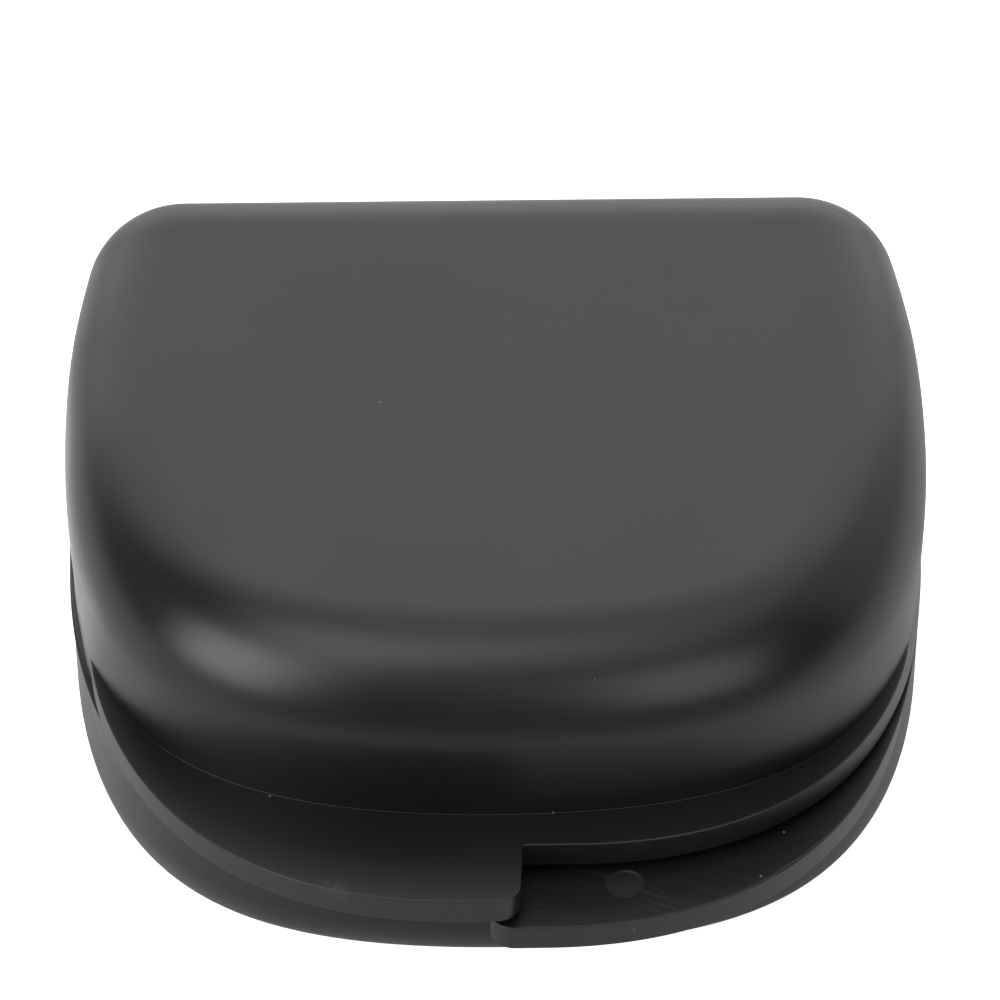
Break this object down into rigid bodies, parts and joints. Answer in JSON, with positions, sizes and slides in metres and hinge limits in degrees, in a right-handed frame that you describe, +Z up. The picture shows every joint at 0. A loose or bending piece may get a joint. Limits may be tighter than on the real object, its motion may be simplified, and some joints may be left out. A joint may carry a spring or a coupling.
{
  "type": "hinged retainer case",
  "caption": "Deep D-shaped pocket case for a dental retainer: domed lid and base with offset thumb lips, joined by a snap hinge at the flat back.",
  "frame": {"origin": "on the resting plane, under the middle of the closed case's bounding box", "axes": "+Z up through the lid's roof, +Y from the thumb lips to the hinge, +X to the right of someone facing the thumb lips"},
  "size_m": [0.0796, 0.0862, 0.0396],
  "materials": {
    "black_plastic": "satin black moulded polypropylene with a fine even grain"
  },
  "bodies": {
    "base": {"base": "black_plastic"},
    "lid": {"lid": "black_plastic"}
  },
  "joints": [
    {"name": "lid_hinge", "type": "hinge", "parent": "base", "child": "lid", "pos_m": [0, 0.04047, 0.0198], "axis": [-1, 0, 0], "range_deg": [0, 180]}
  ]
}
